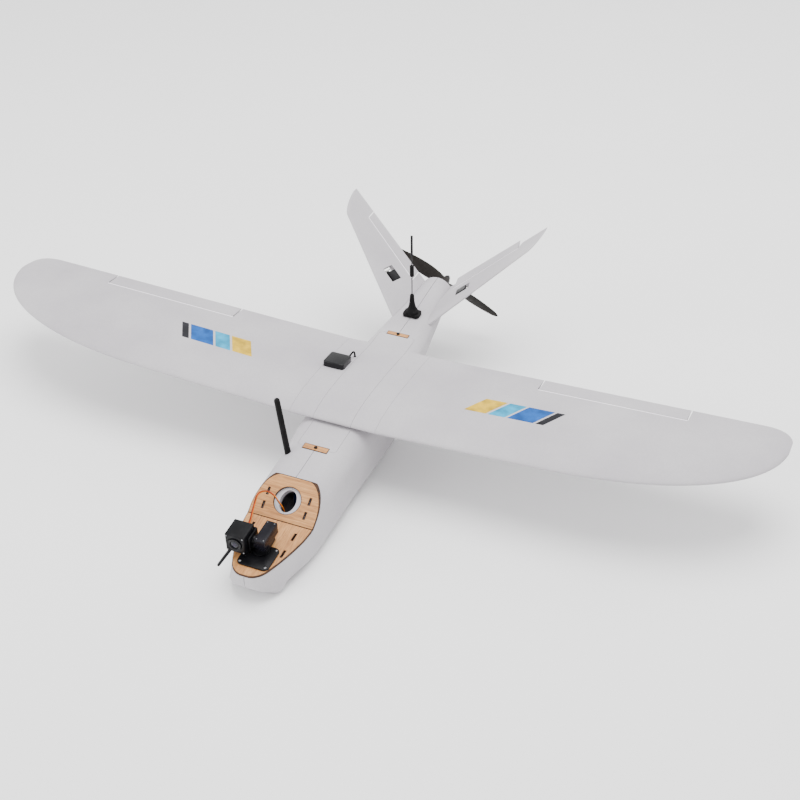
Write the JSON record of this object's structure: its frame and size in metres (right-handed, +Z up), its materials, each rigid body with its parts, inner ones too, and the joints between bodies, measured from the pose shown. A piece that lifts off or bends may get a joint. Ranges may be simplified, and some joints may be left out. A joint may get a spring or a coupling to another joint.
{
  "type": "fixed wing drone",
  "caption": "V-tail foam pusher airplane with a straight rounded wing, a plywood nose deck carrying a pan and tilt camera, a lift-off hatch and a rear propeller.",
  "frame": {"origin": "on the flat belly, on the centre plane under the wing", "axes": "+X points to the aircraft's left (port) wing tip, +Y runs aft along the fuselage, +Z is up"},
  "size_m": [1.298, 0.7778, 0.2617],
  "materials": {
    "foam": "matte",
    "plywood": "satin",
    "black_plastic": "satin",
    "grey_plastic": "satin",
    "carbon": "satin",
    "propeller_plastic": "satin",
    "steel": "satin",
    "lens_glass": "polished",
    "white_nylon": "satin",
    "lead_insulation": "satin",
    "battery_wrap": "matte",
    "circuit_board": "satin"
  },
  "bodies": {
    "airframe": {"fuselage_left": "foam", "fuselage_right": "foam", "nose_plate_rear": "plywood", "nose_plate_front": "plywood", "spar_joiner": "plywood", "wing_spar_left": "carbon", "wing_spar_right": "carbon", "wing_left": "foam", "wing_right": "foam", "aileron_servo_left": "black_plastic", "aileron_servo_right": "black_plastic", "tail_fin_left": "foam", "tail_fin_right": "foam", "ruddervator_servo_left": "black_plastic", "ruddervator_servo_right": "black_plastic", "motor_mount": "black_plastic", "pan_servo": "black_plastic", "pan_base": "black_plastic", "camera_lead": "lead_insulation", "antenna_base": "black_plastic", "antenna_whip": "steel", "stub_antenna": "black_plastic", "pitot_tube": "black_plastic", "gps_module": "black_plastic", "gps_cable": "black_plastic", "battery": "battery_wrap", "receiver": "black_plastic", "flight_controller": "circuit_board", "speed_controller": "black_plastic", "video_transmitter": "steel"},
    "hatch": {"hatch": "foam", "hatch_front_latch": "plywood", "hatch_front_screw": "black_plastic", "hatch_rear_latch": "plywood", "hatch_rear_screw": "black_plastic"},
    "aileron_left": {"aileron_left": "foam", "aileron_horn_left": "black_plastic"},
    "aileron_servo_arm_left": {"aileron_arm_left": "white_nylon"},
    "aileron_pushrod_left": {"aileron_pushrod_left": "steel"},
    "aileron_right": {"aileron_right": "foam", "aileron_horn_right": "black_plastic"},
    "aileron_servo_arm_right": {"aileron_arm_right": "white_nylon"},
    "aileron_pushrod_right": {"aileron_pushrod_right": "steel"},
    "ruddervator_left": {"ruddervator_left": "foam", "ruddervator_horn_left": "black_plastic"},
    "ruddervator_servo_arm_left": {"ruddervator_arm_left": "white_nylon"},
    "ruddervator_pushrod_left": {"ruddervator_pushrod_left": "steel"},
    "ruddervator_right": {"ruddervator_right": "foam", "ruddervator_horn_right": "black_plastic"},
    "ruddervator_servo_arm_right": {"ruddervator_arm_right": "white_nylon"},
    "ruddervator_pushrod_right": {"ruddervator_pushrod_right": "steel"},
    "rotor": {"motor_bell": "steel", "prop_shaft": "steel", "propeller": "propeller_plastic", "spinner_nut": "black_plastic"},
    "pan_head": {"pan_turret": "black_plastic", "tilt_servo": "grey_plastic"},
    "camera": {"camera_cradle": "black_plastic", "camera_body": "black_plastic", "camera_lens": "lens_glass"}
  },
  "joints": [
    {"name": "hatch_lift", "type": "slide", "parent": "airframe", "child": "hatch", "axis": [0, 0, 1], "range_m": [0, 0.06]},
    {"name": "aileron_servo_left", "type": "hinge", "parent": "airframe", "child": "aileron_servo_arm_left", "pos_m": [0.35766, 0.0357, 0.12033], "axis": [0.9984, -0.0215, 0.0517], "range_deg": [-25, 25]},
    {"name": "aileron_left_hinge", "type": "hinge", "parent": "airframe", "child": "aileron_left", "pos_m": [0.35885, 0.10769, 0.12732], "axis": [0.9984, -0.0215, 0.0517], "range_deg": [-25, 25]},
    {"name": "aileron_pushrod_left_pin", "type": "hinge", "parent": "aileron_servo_arm_left", "child": "aileron_pushrod_left", "pos_m": [0.35834, 0.03568, 0.10735], "axis": [0.9984, -0.0215, 0.0517], "range_deg": [-25, 25]},
    {"name": "aileron_servo_right", "type": "hinge", "parent": "airframe", "child": "aileron_servo_arm_right", "pos_m": [-0.35766, 0.0357, 0.12033], "axis": [0.9984, 0.0215, -0.0517], "range_deg": [-25, 25]},
    {"name": "aileron_right_hinge", "type": "hinge", "parent": "airframe", "child": "aileron_right", "pos_m": [-0.35885, 0.10769, 0.12732], "axis": [0.9984, 0.0215, -0.0517], "range_deg": [-25, 25]},
    {"name": "aileron_pushrod_right_pin", "type": "hinge", "parent": "aileron_servo_arm_right", "child": "aileron_pushrod_right", "pos_m": [-0.35834, 0.03568, 0.10735], "axis": [0.9984, 0.0215, -0.0517], "range_deg": [-25, 25]},
    {"name": "ruddervator_servo_left", "type": "hinge", "parent": "airframe", "child": "ruddervator_servo_arm_left", "pos_m": [0.07214, 0.30731, 0.14275], "axis": [0.7407, 0.2838, 0.6089], "range_deg": [-39, 11]},
    {"name": "ruddervator_left_hinge", "type": "hinge", "parent": "airframe", "child": "ruddervator_left", "pos_m": [0.06081, 0.34602, 0.1385], "axis": [0.7407, 0.2838, 0.6089], "range_deg": [-39, 11]},
    {"name": "ruddervator_pushrod_left_pin", "type": "hinge", "parent": "ruddervator_servo_arm_left", "child": "ruddervator_pushrod_left", "pos_m": [0.07761, 0.31002, 0.13483], "axis": [0.7407, 0.2838, 0.6089], "range_deg": [-11, 39]},
    {"name": "ruddervator_servo_right", "type": "hinge", "parent": "airframe", "child": "ruddervator_servo_arm_right", "pos_m": [-0.07214, 0.30731, 0.14275], "axis": [0.7407, -0.2838, -0.6089], "range_deg": [-25, 25]},
    {"name": "ruddervator_right_hinge", "type": "hinge", "parent": "airframe", "child": "ruddervator_right", "pos_m": [-0.06081, 0.34602, 0.1385], "axis": [0.7407, -0.2838, -0.6089], "range_deg": [-25, 25]},
    {"name": "ruddervator_pushrod_right_pin", "type": "hinge", "parent": "ruddervator_servo_arm_right", "child": "ruddervator_pushrod_right", "pos_m": [-0.07839, 0.30772, 0.13496], "axis": [0.7407, -0.2838, -0.6089], "range_deg": [-25, 25]},
    {"name": "propeller_spin", "type": "hinge", "parent": "airframe", "child": "rotor", "pos_m": [0, 0.3915, 0.0925], "axis": [0, 1, 0], "continuous": true},
    {"name": "camera_pan", "type": "hinge", "parent": "airframe", "child": "pan_head", "pos_m": [0.002, -0.318, 0.05371], "axis": [0, -0.0762, 0.9971], "range_deg": [-60, 60]},
    {"name": "camera_tilt", "type": "hinge", "parent": "pan_head", "child": "camera", "pos_m": [0.002, -0.3196, 0.07465], "axis": [1, 0, 0], "range_deg": [-35, 15]}
  ],
  "couplings": [
    {"joint": "aileron_servo_left", "follows": "aileron_left_hinge", "ratio": 1},
    {"joint": "aileron_pushrod_left_pin", "follows": "aileron_left_hinge", "ratio": -1},
    {"joint": "aileron_servo_right", "follows": "aileron_right_hinge", "ratio": 1},
    {"joint": "aileron_pushrod_right_pin", "follows": "aileron_right_hinge", "ratio": -1},
    {"joint": "ruddervator_servo_left", "follows": "ruddervator_left_hinge", "ratio": 1},
    {"joint": "ruddervator_pushrod_left_pin", "follows": "ruddervator_left_hinge", "ratio": -1},
    {"joint": "ruddervator_servo_right", "follows": "ruddervator_right_hinge", "ratio": 1},
    {"joint": "ruddervator_pushrod_right_pin", "follows": "ruddervator_right_hinge", "ratio": -1}
  ]
}
